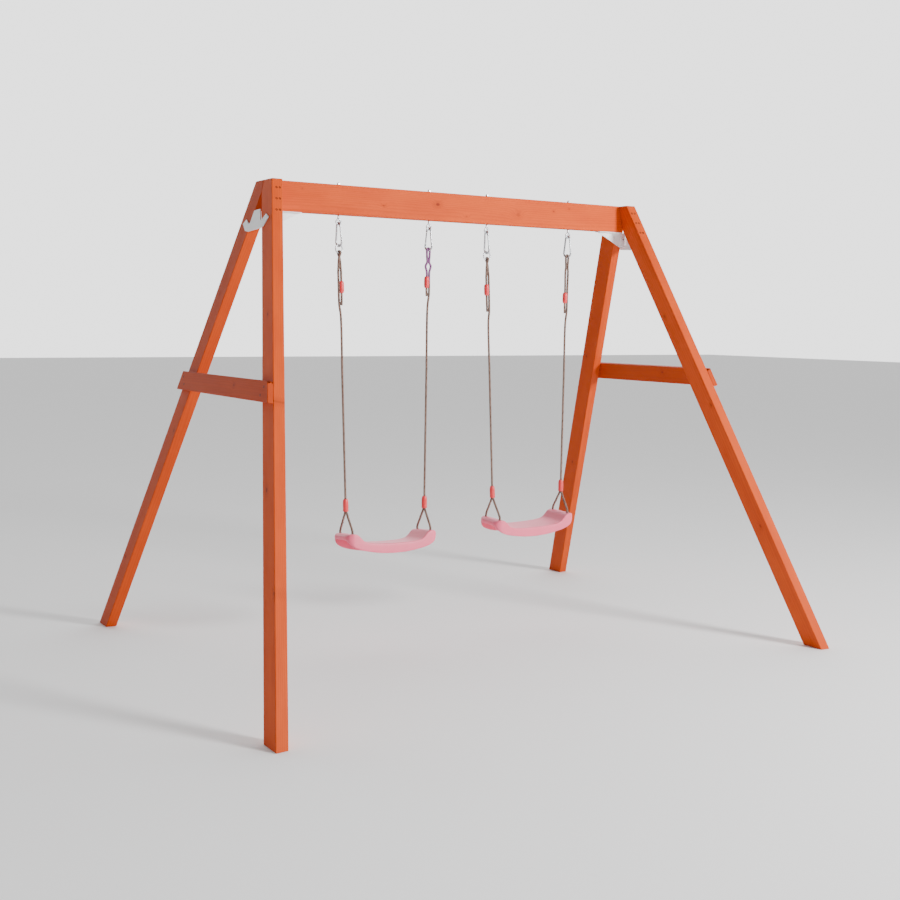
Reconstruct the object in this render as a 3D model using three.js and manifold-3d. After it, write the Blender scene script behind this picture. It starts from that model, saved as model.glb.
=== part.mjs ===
// A double garden swing set: two splayed timber A-frames, a beam, and two moulded seats on ropes.
// Millimetres, +Z up. X runs along the beam, the front is -Y, and the origin is on the ground
// under the middle of the beam.

import * as THREE from 'three';
import { mergeVertices } from 'three/addons/utils/BufferGeometryUtils.js';
import Module from 'manifold-3d';

const wasm = await Module();
wasm.setup();

const GAP = 0.3;                                   // between pieces that rest on each other
const degrees = THREE.MathUtils.degToRad;

// ---------------------------------------------------------------- driving dimensions

const FRAME = {
  height: 2000,                                    // ground to the level tops of the legs
  footHalf: 1345,                                  // centre to the outer face of a leg, on the ground
  lean: degrees(11.45),                            // each A-frame leans in towards the beam
  spread: 2050,                                    // front to back over the feet
  apexHalf: 81,                                    // half the depth over both legs at the top
};
const LEG = { wide: 95, thick: 48 };
const BEAM = { deep: 122, thick: 48 };
const BRACE = { deep: 81, thick: 24, ease: 8, top: { left: 1207, right: 1233 } };

const PLATE = { thick: 4, flange: 3, flangeHalf: 20 };
// The hook plate's outline on the outer faces of the legs, as [y, distance up the slope].
const HOOK = [[30, 1916], [52, 1867], [65, 1866], [80, 1877], [98, 1888], [127, 1872], [90, 1839],
  [62, 1833]];
const HOOK_TURN = 0.06;                            // the plates sit slightly turned, rear side low
const WEB = { tip: 781, elbow: [920, 1808], toe: [934, 1810], foot: 1832, head: 1872, past: 2 };
const CROSS_BOLT = { radius: 3, across: 10, x: 938, z: 1846, reach: 8, head: 4 };

const EYE = { ring: 10.5, wire: 3.5, shank: 4, pivot: 1838.5, top: 2012 };
const NUT = { across: 13, tall: 6.5 };
const WASHER = { radius: 11, tall: 1.6 };

const CARABINER = { wire: 4, topBend: 11, lowBend: 19, tall: 98 };
// The gate spans these shares of the carabiner's open side, from its hinge up to its nose.
const GATE = { wire: 3.2, from: 0.84, to: 0.16, hingeGap: 1.6 };
const RING = { radius: 18, wire: 3 };
// `pair` and `grip` are half the distance between two strands when together, and in the adjuster.
// `crown` is where they part below the ring, `spreadOver` how soon they spread below the neck,
// and `merge` how far below the tail the rope is back in line.
const ROPE = { radius: 5, sides: 8, pair: 5.4, grip: 6.6, crown: 22, spreadOver: 16, merge: 26,
  inCollar: 12 };
const ADJUSTER = { tall: 50, radius: 11.5, endRadius: 9, taper: 7, hole: 5.6, travel: 20 };
const COLLAR = { tall: 55, radius: 12.2, endRadius: 11.8, topRadius: 9.2, cavity: 11, throat: 5.6,
  foot: 4, shoulder: 8, cavityTop: 14 };

// `drop` is from the collar to the seat, and `half` is half a bridle's spread at the seat. The
// rest are how far a strand reaches into the collar, and above and below the seat.
const BRIDLE = { drop: 100, half: 57, inCollar: 35, straight: 8, mouth: 2, above: 14, below: 26 };
const SEAT = { half: 227, deep: 156, wall: 6, corner: 36, holeHalf: 195, holeRadius: 7.2 };
// One end's side profile, as [x, z] about the level where the ropes are fixed.
const SEAT_TOP = [[222, -5], [213, 1], [184, 2], [172, -4], [157, -19], [143, -31], [118, -38],
  [60, -42.5], [0, -44]];
const SEAT_LOW = [[0, -88], [60, -85.5], [120, -77], [172, -65], [205, -48], [221, -27], [227, -6]];

// Each swing hangs from two eye bolts. `tilt` lifts its +X end and `pitch` lifts its front.
const SWINGS = [
  { name: 'left', middle: -365.5, seatHeight: 512, tilt: degrees(-1.8), pitch: degrees(5.9) },
  { name: 'right', middle: 398, seatHeight: 531.6, tilt: degrees(0.9), pitch: degrees(-1.3) },
];
// `eye` is where the eye bolt sits along the beam. `end` is the seat's end that the rope goes to.
// `adjuster` and `tail` are how far below the pivot the adjuster and the rope's tail sit, and
// `side` is the side of the loop that they are on. The loop's strands stay together down to
// `neck` and are then `spread` to each side. `turn` is the carabiner's twist about the rope.
const HANGERS = [
  { name: 'left_outer', swing: SWINGS[0], eye: -603, end: -1, ring: true, side: 1, adjuster: 260.5,
    tail: 338, neck: 180, spread: 6.6, turn: degrees(11), gateFront: true },
  { name: 'left_inner', swing: SWINGS[0], eye: -161, end: 1, ring: false, side: -1, adjuster: 228.5,
    tail: 290, neck: 142, spread: 13, turn: degrees(18), gateFront: false },
  { name: 'right_inner', swing: SWINGS[1], eye: 143, end: -1, ring: true, side: -1, adjuster: 254.5,
    tail: 354, neck: 180, spread: 6.6, turn: 0, gateFront: true },
  { name: 'right_outer', swing: SWINGS[1], eye: 603, end: 1, ring: false, side: -1, adjuster: 281.5,
    tail: 354, neck: 140, spread: 7.5, turn: degrees(18), gateFront: true },
];

// ---------------------------------------------------------------- materials

const material = (name, color, roughness, metalness) =>
  new THREE.MeshStandardMaterial({ name, color, roughness, metalness });

const MATERIAL = {
  timber: material('timber', 0xd9764b, 0.6, 0),
  plate: material('plate', 0xeef0f1, 0.45, 0.2),
  zinc: material('zinc', 0xb9bdc1, 0.3, 0.95),
  rope: material('rope', 0x7a635b, 0.9, 0),
  ropePurple: material('rope_purple', 0x9a7a95, 0.9, 0),
  red: material('red_plastic', 0xe2525c, 0.4, 0),
  pink: material('pink_plastic', 0xf7a9c0, 0.45, 0),
};

// ---------------------------------------------------------------- helpers

function mesh(name, geometry, paint) {
  const piece = new THREE.Mesh(geometry, paint);
  piece.name = name;
  return piece;
}

function solid(geometry) {
  const bare = geometry.clone();
  bare.deleteAttribute('normal');
  bare.deleteAttribute('uv');
  const merged = mergeVertices(bare, 1e-3);
  return new wasm.Manifold(new wasm.Mesh({
    numProp: 3,
    vertProperties: new Float32Array(merged.attributes.position.array),
    triVerts: new Uint32Array(merged.index.array),
  }));
}

function geometryOf(body) {
  const { vertProperties, triVerts } = body.getMesh();
  const geometry = new THREE.BufferGeometry();
  geometry.setAttribute('position', new THREE.BufferAttribute(vertProperties, 3));
  geometry.setIndex(new THREE.BufferAttribute(triVerts, 1));
  geometry.computeVertexNormals();
  return geometry;
}

function joined(...geometries) {
  return geometryOf(geometries.map(solid).reduce((whole, next) => whole.add(next)));
}

function box(width, depth, height, x, y, z) {
  return new THREE.BoxGeometry(width, depth, height).translate(x, y, z);
}

// A flat outline of [a, b] points made `depth` thick along its own +Z.
function prism(points, depth) {
  const outline = new THREE.Shape(points.map(([a, b]) => new THREE.Vector2(a, b)));
  return new THREE.ExtrudeGeometry(outline, { depth, bevelEnabled: false });
}

// The same, for an outline of [x, z] points that runs from y = from to y = to.
function sidePrism(points, from, to) {
  return prism(points, to - from).rotateX(Math.PI / 2).translate(0, to, 0);
}

function upright(radius, from, to, sides) {
  return new THREE.CylinderGeometry(radius, radius, to - from, sides)
    .rotateX(Math.PI / 2).translate(0, 0, (from + to) / 2);
}

function hexagon(across, from, to) {
  return upright(across / Math.sqrt(3), from, to, 6);
}

// A turned sleeve: `profile` is [radius, z] points, and closes on itself.
function turned(profile, sides) {
  const points = [...profile, profile[0]].map(([r, z]) => new THREE.Vector2(r, z));
  return new THREE.LatheGeometry(points, sides).rotateX(Math.PI / 2);
}

// A smooth line through its points that spends the same number of steps between each pair of
// them, so that a tight bend with close points comes out round.
class Route extends THREE.CatmullRomCurve3 {
  constructor(points) {
    super(points.map(([x, y, z]) => new THREE.Vector3(x, y, z)), false, 'centripetal');
  }

  getPointAt(u, target) {
    return this.getPoint(u, target);
  }

  getTangentAt(u, target) {
    return this.getTangent(u, target);
  }
}

function bar(points, radius, sides, stepsEach) {
  const section = new THREE.Shape(Array.from({ length: sides }, (_, i) => new THREE.Vector2(
    radius * Math.cos((2 * Math.PI * i) / sides),
    radius * Math.sin((2 * Math.PI * i) / sides),
  )));
  return new THREE.ExtrudeGeometry(section, {
    extrudePath: new Route(points),
    steps: stepsEach * (points.length - 1),
    bevelEnabled: false,
  });
}

// Points of an arc in the YZ plane about (0, z), with angles in degrees from +Y towards +Z.
function arc(z, radius, from, to, count) {
  return Array.from({ length: count }, (_, i) => {
    const angle = degrees(from + ((to - from) * i) / (count - 1));
    return [0, radius * Math.cos(angle), z + radius * Math.sin(angle)];
  });
}

const between = (a, b, t) => a.map((value, i) => value + (b[i] - value) * t);

// ---------------------------------------------------------------- A-frames

// An A-frame is drawn flat, as [y, s] with s up its slope, on the outer face of the left legs,
// and its thickness goes inwards. FLAT_TO_FRAME stands it up at the left end of the beam.
const SLOPE = FRAME.height / Math.cos(FRAME.lean);
const LEG_RUN = (FRAME.spread / 2 - FRAME.apexHalf) / SLOPE;
const LEG_CUT = LEG.wide * Math.hypot(1, LEG_RUN);         // the leg's width along Y
const FLAT_TO_FRAME = new THREE.Matrix4().makeBasis(
  new THREE.Vector3(0, 1, 0),
  new THREE.Vector3(Math.sin(FRAME.lean), 0, Math.cos(FRAME.lean)),
  new THREE.Vector3(Math.cos(FRAME.lean), 0, -Math.sin(FRAME.lean)),
).setPosition(-FRAME.footHalf, 0, 0);

const outerEdge = (s) => FRAME.apexHalf + (SLOPE - s) * LEG_RUN;
const outerFace = (z) => FRAME.footHalf - z * Math.tan(FRAME.lean);
const innerFace = (z) => outerFace(z) - LEG.thick / Math.cos(FRAME.lean);
const turnRound = (geometry, side) => (side === 'left' ? geometry : geometry.rotateZ(Math.PI));

// `from` and `to` are measured inwards from the outer face of the legs.
function standUp(points, from, to) {
  return prism(points, to - from).translate(0, 0, from).applyMatrix4(FLAT_TO_FRAME);
}

// Both legs of a frame are cut level at the ground and at the top, and mitred where they meet.
function leg(side, sign) {
  const over = 60;
  const mitre = GAP / 2;
  const crotch = SLOPE - (LEG_CUT + mitre - FRAME.apexHalf) / LEG_RUN;
  const points = [
    [outerEdge(-over), -over],
    [outerEdge(-over) - LEG_CUT, -over],
    [mitre, crotch],
    [mitre, SLOPE + over],
    [outerEdge(SLOPE + over), SLOPE + over],
  ].map(([y, s]) => [sign * y, s]);
  const room = box(2 * FRAME.footHalf, 2 * FRAME.spread, FRAME.height, -FRAME.footHalf, 0,
    FRAME.height / 2);
  return turnRound(geometryOf(solid(standUp(points, 0, LEG.thick)).intersect(solid(room))), side);
}

// The brace lies on the outer faces of both legs, with its ends cut along their outer edges.
function brace(side) {
  const high = BRACE.top[side] / Math.cos(FRAME.lean);
  const low = high - BRACE.deep;
  const { ease } = BRACE;
  const half = [
    [outerEdge(low), low],
    [outerEdge(high - ease), high - ease],
    [outerEdge(high - ease) - ease, high],
  ];
  const points = [...half, ...half.map(([y, s]) => [-y, s]).reverse()];
  return turnRound(standUp(points, -BRACE.thick - GAP, -GAP), side);
}

// One welded steel bracket: a hook plate across the outer faces of the legs, a web through the
// gap between them, and a flange under the beam.
function bracket(side) {
  const beamBottom = FRAME.height - BEAM.deep - GAP;
  const hook = [...HOOK, ...HOOK.map(([y, s]) => [-y, s]).reverse()]
    .map(([y, s]) => [y, s - HOOK_TURN * y]);
  const web = [
    [-WEB.tip, beamBottom],
    [-WEB.tip, beamBottom - PLATE.flange],
    [-WEB.elbow[0], WEB.elbow[1]],
    [-WEB.toe[0], WEB.toe[1]],
    [-outerFace(WEB.foot) - WEB.past, WEB.foot],
    [-outerFace(WEB.head) - WEB.past, WEB.head],
    [-innerFace(beamBottom), beamBottom],
  ];
  const flange = box(innerFace(beamBottom) - WEB.tip, 2 * PLATE.flangeHalf, PLATE.flange,
    -(innerFace(beamBottom) + WEB.tip) / 2, 0, beamBottom - PLATE.flange / 2);
  const boltHole = upright(CROSS_BOLT.radius + GAP, -10, 10, 16).rotateX(Math.PI / 2)
    .translate(-CROSS_BOLT.x, 0, CROSS_BOLT.z);
  const body = solid(standUp(hook, -PLATE.thick - GAP, -GAP))
    .add(solid(sidePrism(web, -PLATE.thick / 2, PLATE.thick / 2)))
    .add(solid(flange))
    .subtract(solid(boltHole));
  return turnRound(geometryOf(body), side);
}

// A short bolt through the web, with its head and its nut in one piece.
function crossBolt(side) {
  const seat = PLATE.thick / 2 + GAP;
  const body = joined(
    upright(CROSS_BOLT.radius, -CROSS_BOLT.reach, CROSS_BOLT.reach, 16),
    hexagon(CROSS_BOLT.across, seat, seat + CROSS_BOLT.head),
    hexagon(CROSS_BOLT.across, -seat - CROSS_BOLT.head, -seat),
  );
  return turnRound(body.rotateX(Math.PI / 2).translate(-CROSS_BOLT.x, 0, CROSS_BOLT.z), side);
}

// ---------------------------------------------------------------- beam and eye bolts

function beam() {
  const bottom = FRAME.height - BEAM.deep;
  const outline = [
    [-innerFace(bottom) + GAP, bottom],
    [innerFace(bottom) - GAP, bottom],
    [innerFace(FRAME.height) - GAP, FRAME.height],
    [-innerFace(FRAME.height) + GAP, FRAME.height],
  ];
  let body = solid(sidePrism(outline, -BEAM.thick / 2, BEAM.thick / 2));
  for (const { eye } of HANGERS) {
    const hole = upright(EYE.shank + GAP, bottom - 10, FRAME.height + 10, 12).translate(eye, 0, 0);
    body = body.subtract(solid(hole));
  }
  return geometryOf(body);
}

function eyeBolt() {
  const top = EYE.top - EYE.pivot;
  const eye = new THREE.TorusGeometry(EYE.ring, EYE.wire, 8, 20).rotateX(Math.PI / 2)
    .translate(0, 0, EYE.ring);
  return joined(eye, upright(EYE.shank, 2 * EYE.ring - 1, top, 12));
}

function nut() {
  const foot = FRAME.height - EYE.pivot + WASHER.tall + 2 * GAP;
  const hole = upright(EYE.shank + GAP, foot - 1, foot + NUT.tall + 1, 12);
  return geometryOf(solid(hexagon(NUT.across, foot, foot + NUT.tall)).subtract(solid(hole)));
}

function washer() {
  const foot = FRAME.height - EYE.pivot + GAP;
  const inner = EYE.shank + GAP;
  return turned([
    [inner, foot],
    [WASHER.radius, foot],
    [WASHER.radius, foot + WASHER.tall],
    [inner, foot + WASHER.tall],
  ], 12);
}

// ---------------------------------------------------------------- carabiners and rings

// A hanger is drawn in its own frame: the origin is the centre of the eye's lower wire, -Z runs
// down the rope, and the carabiner lies in the YZ plane with its gate at -Y.
const CARABINER_TOP = EYE.wire + CARABINER.wire + GAP;
const CARABINER_LOW = CARABINER_TOP - CARABINER.tall;
const TOP_CENTRE = CARABINER_TOP - CARABINER.topBend;
const LOW_CENTRE = CARABINER_LOW + CARABINER.lowBend;
const FLANK = THREE.MathUtils.radToDeg(
  Math.asin((CARABINER.lowBend - CARABINER.topBend) / (TOP_CENTRE - LOW_CENTRE)),
);
const GATE_HIGH = arc(TOP_CENTRE, CARABINER.topBend, 180 - FLANK, 180 - FLANK, 2)[0];
const GATE_LOW = arc(LOW_CENTRE, CARABINER.lowBend, 180 - FLANK, 180 - FLANK, 2)[0];
const BACK_HIGH = [0, -GATE_HIGH[1], GATE_HIGH[2]];
const BACK_LOW = [0, -GATE_LOW[1], GATE_LOW[2]];
const SUPPORT = CARABINER_LOW + CARABINER.wire + RING.wire + GAP - 2 * RING.radius;

function carabiner() {
  return bar([
    between(GATE_HIGH, GATE_LOW, GATE.to),
    between(GATE_HIGH, GATE_LOW, GATE.to / 2),
    ...arc(TOP_CENTRE, CARABINER.topBend, 180 - FLANK, FLANK, 7),
    between(BACK_HIGH, BACK_LOW, 0.5),
    ...arc(LOW_CENTRE, CARABINER.lowBend, FLANK, -180 - FLANK, 9),
    between(GATE_HIGH, GATE_LOW, (1 + GATE.from) / 2),
    between(GATE_HIGH, GATE_LOW, GATE.from),
  ], CARABINER.wire, 8, 1);
}

const GATE_FOOT = between(GATE_HIGH, GATE_LOW, GATE.from - GATE.hingeGap / CARABINER.tall);
const GATE_HEAD = between(GATE_HIGH, GATE_LOW, GATE.to + GAP / CARABINER.tall * 2);

function gate() {
  return bar([GATE_FOOT, between(GATE_FOOT, GATE_HEAD, 0.5), GATE_HEAD], GATE.wire, 8, 1);
}

function ring() {
  return new THREE.TorusGeometry(RING.radius, RING.wire, 8, 20).rotateX(Math.PI / 2)
    .translate(0, 0, SUPPORT + RING.radius);
}

// ---------------------------------------------------------------- ropes

function seatPlace({ middle, seatHeight, tilt, pitch }) {
  return new THREE.Matrix4().compose(
    new THREE.Vector3(middle, 0, seatHeight),
    new THREE.Quaternion().setFromEuler(new THREE.Euler(-pitch, -tilt, 0, 'YXZ')),
    new THREE.Vector3(1, 1, 1),
  );
}

// Where a hanger's own frame is, and how far down it the seat's end is.
function hangerPlace(hanger) {
  const eye = new THREE.Vector3(hanger.eye, 0, EYE.pivot);
  const end = new THREE.Vector3(hanger.end * SEAT.holeHalf, 0, 0)
    .applyMatrix4(seatPlace(hanger.swing));
  const length = eye.distanceTo(end);
  const lean = Math.asin((eye.x - end.x) / length);
  const matrix = new THREE.Matrix4().makeRotationY(lean).setPosition(eye);
  return { matrix, length };
}

// Up from the tail, through the adjuster, over the ring or carabiner and down to the collar.
function ropeRoute({ ring: onRing, side, spread, neck, adjuster, tail, turn }, length) {
  const support = onRing ? SUPPORT : CARABINER_LOW;
  const bend = (onRing ? RING.wire : CARABINER.wire) + ROPE.radius + 2 * GAP;
  const away = onRing ? turn + Math.PI / 2 : turn;
  const across = (offset, angle, z) => [
    side * offset * Math.cos(angle), side * offset * Math.sin(angle), z,
  ];
  const reach = ADJUSTER.tall / 2 + ADJUSTER.travel;
  const strand = (sign) => [
    across(sign * ROPE.pair, 0, -tail),
    across(sign * ROPE.grip, 0, -adjuster - reach),
    across(sign * ROPE.grip, 0, -adjuster),
    across(sign * ROPE.grip, 0, -adjuster + reach),
    across(sign * spread, 0, -neck - ROPE.spreadOver),
    across(sign * ROPE.pair, 0, -neck),
    across(sign * (ROPE.pair + bend) / 2, away / 2, support - ROPE.crown),
  ];
  const collarTop = -length + BRIDLE.drop + COLLAR.tall;
  const low = collarTop - ROPE.inCollar;
  const rest = [0.02, 0.35, 0.7, 1].map((t) => between([0, 0, -tail - ROPE.merge], [0, 0, low], t));
  return [
    ...strand(1),
    ...arc(support, bend, 0, 180, 7).map(([, offset, z]) => across(offset, away, z)),
    ...strand(-1).reverse(),
    ...rest,
  ];
}

// A bridle strand runs from inside the collar through a hole in the seat.
function bridleRoute({ end, swing }, sign, { matrix, length }) {
  const toHanger = matrix.clone().invert().multiply(seatPlace(swing));
  const atSeat = (z) => new THREE.Vector3(end * SEAT.holeHalf, sign * BRIDLE.half, z)
    .applyMatrix4(toHanger).toArray();
  const apart = sign * (ROPE.radius + 2 * GAP);
  const collarFoot = -length + BRIDLE.drop;
  const mouth = [0, apart, collarFoot - BRIDLE.mouth];
  return [
    [0, apart - sign * GAP, collarFoot + BRIDLE.inCollar],
    [0, apart - sign * GAP, collarFoot + BRIDLE.straight],
    mouth,
    between(mouth, atSeat(BRIDLE.above), 0.5),
    atSeat(BRIDLE.above),
    atSeat(0),
    atSeat(-BRIDLE.below),
  ];
}

function adjuster({ side, adjuster: depth }) {
  const half = ADJUSTER.tall / 2;
  const sleeve = turned([
    [ADJUSTER.hole, -half],
    [ADJUSTER.endRadius, -half],
    [ADJUSTER.radius, -half + ADJUSTER.taper],
    [ADJUSTER.radius, half - ADJUSTER.taper],
    [ADJUSTER.endRadius, half],
    [ADJUSTER.hole, half],
  ], 16);
  const groove = upright(ADJUSTER.hole, -half - 5, half + 5, 16)
    .translate(-2 * side * ROPE.grip, 0, 0);
  return geometryOf(solid(sleeve).subtract(solid(groove)))
    .translate(side * ROPE.grip, 0, -depth);
}

function collar(length) {
  return turned([
    [COLLAR.cavity, 0],
    [COLLAR.endRadius, 0],
    [COLLAR.radius, COLLAR.foot],
    [COLLAR.radius, COLLAR.tall - COLLAR.shoulder],
    [COLLAR.topRadius, COLLAR.tall],
    [COLLAR.throat, COLLAR.tall],
    [COLLAR.throat, COLLAR.tall - COLLAR.shoulder],
    [COLLAR.cavity, COLLAR.tall - COLLAR.cavityTop],
  ], 16).translate(0, 0, -length + BRIDLE.drop);
}

// ---------------------------------------------------------------- seats

function smooth(points, count) {
  const curve = new THREE.SplineCurve(points.map(([x, z]) => new THREE.Vector2(x, z)));
  return curve.getPoints(count).map(({ x, y }) => [x, y]);
}

const mirrored = (points) => [...points, ...points.map(([x, z]) => [-x, z]).reverse()];

function roundedPlan(half, deep, radius, low, high) {
  const plan = new THREE.Shape();
  const x = half - radius;
  const y = deep / 2 - radius;
  plan.absarc(x, y, radius, 0, Math.PI / 2);
  plan.absarc(-x, y, radius, Math.PI / 2, Math.PI);
  plan.absarc(-x, -y, radius, Math.PI, 1.5 * Math.PI);
  plan.absarc(x, -y, radius, 1.5 * Math.PI, 2 * Math.PI);
  return new THREE.ExtrudeGeometry(plan, { depth: high - low, bevelEnabled: false, curveSegments: 4 })
    .translate(0, 0, low);
}

const SEAT_ROOM = { low: -150, high: 50 };         // more than the seat's own height

// A moulded shell: a curved top with turned-up ends, and a skirt all round a hollow underside.
function seat() {
  const top = smooth(SEAT_TOP, 20);
  const low = smooth(SEAT_LOW, 12);
  const below = top.slice(0, -1).map(([x, z], i) => {
    const [dx, dz] = [top[i + 1][0] - x, top[i + 1][1] - z];
    const size = Math.hypot(dx, dz) / SEAT.wall;
    return [Math.min(x - dz / size, SEAT.half - SEAT.wall), z + dx / size];
  }).filter(([x]) => x < SEAT.half - SEAT.wall);
  const hollowOutline = mirrored([
    [SEAT.half - SEAT.wall, SEAT_ROOM.low + 20],
    [SEAT.half - SEAT.wall, below[0][1] - 2],
    ...below,
  ]);
  const shell = solid(sidePrism(mirrored([...low.slice(1), ...top.slice(0, -1)]),
    -SEAT.deep / 2, SEAT.deep / 2))
    .intersect(solid(roundedPlan(SEAT.half, SEAT.deep, SEAT.corner, SEAT_ROOM.low, SEAT_ROOM.high)));
  const hollow = solid(sidePrism(hollowOutline, -SEAT.deep, SEAT.deep))
    .intersect(solid(roundedPlan(SEAT.half - SEAT.wall, SEAT.deep - 2 * SEAT.wall,
      SEAT.corner - SEAT.wall, SEAT_ROOM.low, SEAT_ROOM.high)));
  let body = shell.subtract(hollow);
  for (const x of [-SEAT.holeHalf, SEAT.holeHalf]) {
    for (const y of [-BRIDLE.half, BRIDLE.half]) {
      body = body.subtract(solid(upright(SEAT.holeRadius, -30, 30, 12).translate(x, y, 0)));
    }
  }
  return geometryOf(body);
}

// ---------------------------------------------------------------- the whole set

const swingSet = new THREE.Group();

for (const side of ['left', 'right']) {
  swingSet.add(mesh(`leg_${side}_front`, leg(side, side === 'left' ? -1 : 1), MATERIAL.timber));
  swingSet.add(mesh(`leg_${side}_rear`, leg(side, side === 'left' ? 1 : -1), MATERIAL.timber));
  swingSet.add(mesh(`brace_${side}`, brace(side), MATERIAL.timber));
  swingSet.add(mesh(`bracket_${side}`, bracket(side), MATERIAL.plate));
  swingSet.add(mesh(`bracket_bolt_${side}`, crossBolt(side), MATERIAL.zinc));
}
swingSet.add(mesh('beam', beam(), MATERIAL.timber));

for (const hanger of HANGERS) {
  const { name } = hanger;
  const place = hangerPlace(hanger);

  const fixing = new THREE.Group();
  fixing.position.set(hanger.eye, 0, EYE.pivot);
  fixing.add(mesh(`eye_bolt_${name}`, eyeBolt(), MATERIAL.zinc));
  fixing.add(mesh(`washer_${name}`, washer(), MATERIAL.zinc));
  fixing.add(mesh(`nut_${name}`, nut(), MATERIAL.zinc));

  const line = new THREE.Group();
  line.applyMatrix4(place.matrix);
  const clip = new THREE.Group();
  clip.rotation.z = hanger.turn + (hanger.gateFront ? 0 : Math.PI);
  clip.add(mesh(`carabiner_${name}`, carabiner(), MATERIAL.zinc));
  clip.add(mesh(`gate_${name}`, gate(), MATERIAL.zinc));
  if (hanger.ring) clip.add(mesh(`ring_${name}`, ring(), MATERIAL.zinc));
  line.add(clip);

  const ropePaint = name === 'left_inner' ? MATERIAL.ropePurple : MATERIAL.rope;
  line.add(mesh(`rope_${name}`, bar(ropeRoute(hanger, place.length), ROPE.radius, ROPE.sides, 1),
    ropePaint));
  line.add(mesh(`adjuster_${name}`, adjuster(hanger), MATERIAL.red));
  line.add(mesh(`collar_${name}`, collar(place.length), MATERIAL.red));
  for (const [where, sign] of [['front', -1], ['rear', 1]]) {
    const route = bridleRoute(hanger, sign, place);
    line.add(mesh(`bridle_${name}_${where}`, bar(route, ROPE.radius, ROPE.sides, 2), MATERIAL.rope));
  }
  swingSet.add(fixing, line);
}

for (const swing of SWINGS) {
  const place = new THREE.Group();
  place.applyMatrix4(seatPlace(swing));
  place.add(mesh(`seat_${swing.name}`, seat(), MATERIAL.pink));
  swingSet.add(place);
}

export default swingSet;
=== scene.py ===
"""A double garden swing set: looks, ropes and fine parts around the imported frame. Metres."""

import math

import bmesh
import bpy
import numpy as np
from mathutils import Matrix, Vector


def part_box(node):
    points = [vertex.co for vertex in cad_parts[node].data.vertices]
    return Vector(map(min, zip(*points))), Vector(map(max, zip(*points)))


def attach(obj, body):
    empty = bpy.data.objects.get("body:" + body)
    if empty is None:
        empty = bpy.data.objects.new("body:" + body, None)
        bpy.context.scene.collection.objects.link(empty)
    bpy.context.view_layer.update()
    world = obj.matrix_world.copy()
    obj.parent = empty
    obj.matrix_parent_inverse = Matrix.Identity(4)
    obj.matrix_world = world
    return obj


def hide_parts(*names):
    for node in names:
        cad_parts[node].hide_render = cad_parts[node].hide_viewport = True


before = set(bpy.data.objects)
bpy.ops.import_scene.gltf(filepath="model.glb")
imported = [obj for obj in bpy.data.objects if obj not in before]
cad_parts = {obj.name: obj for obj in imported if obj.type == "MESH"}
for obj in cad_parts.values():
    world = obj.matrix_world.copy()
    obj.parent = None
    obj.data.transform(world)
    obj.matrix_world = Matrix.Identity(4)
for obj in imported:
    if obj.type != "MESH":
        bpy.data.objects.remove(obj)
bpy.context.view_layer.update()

# ------------------------------ dimensions, as in the CAD model

MM = 0.001
HEIGHT = 2.0
FOOT_HALF = 1.345
LEAN = math.radians(11.45)
APEX_HALF = 0.081
SPREAD_HALF = 1.025
SLOPE = HEIGHT / math.cos(LEAN)
LEG_RUN = (SPREAD_HALF - APEX_HALF) / SLOPE
BEAM_DEEP = 0.122

PIVOT = 1.8385
EYE_RING, EYE_WIRE, EYE_SHANK, EYE_TOP = 0.0105, 0.0035, 0.004, 2.012
NUT_ACROSS, NUT_TALL = 0.013, 0.0065
WASHER_RADIUS, WASHER_TALL = 0.011, 0.0016
GAP = 0.0003

CLIP_WIRE, CLIP_TOP_BEND, CLIP_LOW_BEND, CLIP_TALL = 0.004, 0.011, 0.019, 0.098
GATE_WIRE, GATE_FROM, GATE_TO, GATE_PIVOT = 0.0032, 0.84, 0.16, 0.004
GATE_HINGE_GAP, GATE_NOSE, CLIP_EASE = 0.0016, 0.004, 0.0015
RING_RADIUS, RING_WIRE = 0.018, 0.003
ROPE_RADIUS, ROPE_PAIR, ROPE_GRIP = 0.005, 0.0054, 0.0066
ROPE_CROWN, ROPE_SPREAD_OVER, ROPE_MERGE, ROPE_IN_COLLAR = 0.022, 0.016, 0.026, 0.012
ADJUSTER_TALL, ADJUSTER_RADIUS, ADJUSTER_END, ADJUSTER_HOLE = 0.050, 0.0115, 0.009, 0.0056
ADJUSTER_TRAVEL = 0.020
COLLAR_TALL, COLLAR_RADIUS, COLLAR_CAVITY, COLLAR_THROAT = 0.055, 0.0122, 0.011, 0.0056

BRIDLE_DROP, BRIDLE_HALF = 0.100, 0.057
BRIDLE_IN_COLLAR, BRIDLE_STRAIGHT, BRIDLE_MOUTH = 0.035, 0.008, 0.002
BRIDLE_ABOVE, BRIDLE_BELOW = 0.014, 0.026
SEAT_HALF, SEAT_DEEP, SEAT_WALL, SEAT_CORNER = 0.227, 0.156, 0.006, 0.036
SEAT_HOLE_HALF, SEAT_HOLE_RADIUS = 0.195, 0.0072
SEAT_VOXEL, SEAT_FINE_VOXEL, SEAT_ROUNDING = 0.0025, 0.0016, 26
RIB_DROP, RIB_BITE, RIB_HALF, RIB_REACH = 0.012, 0.002, 0.0016, 0.160
RIBS_ALONG, RIBS_ACROSS = (-0.034, 0.0, 0.034), (-0.120, -0.060, 0.0, 0.060, 0.120)
SEAT_TOP = [(222, -5), (213, 1), (184, 2), (172, -4), (157, -19), (143, -31), (118, -38), (60, -42.5),
            (0, -44)]
SEAT_LOW = [(0, -88), (60, -85.5), (120, -77), (172, -65), (205, -48), (221, -27), (227, -6)]

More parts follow.
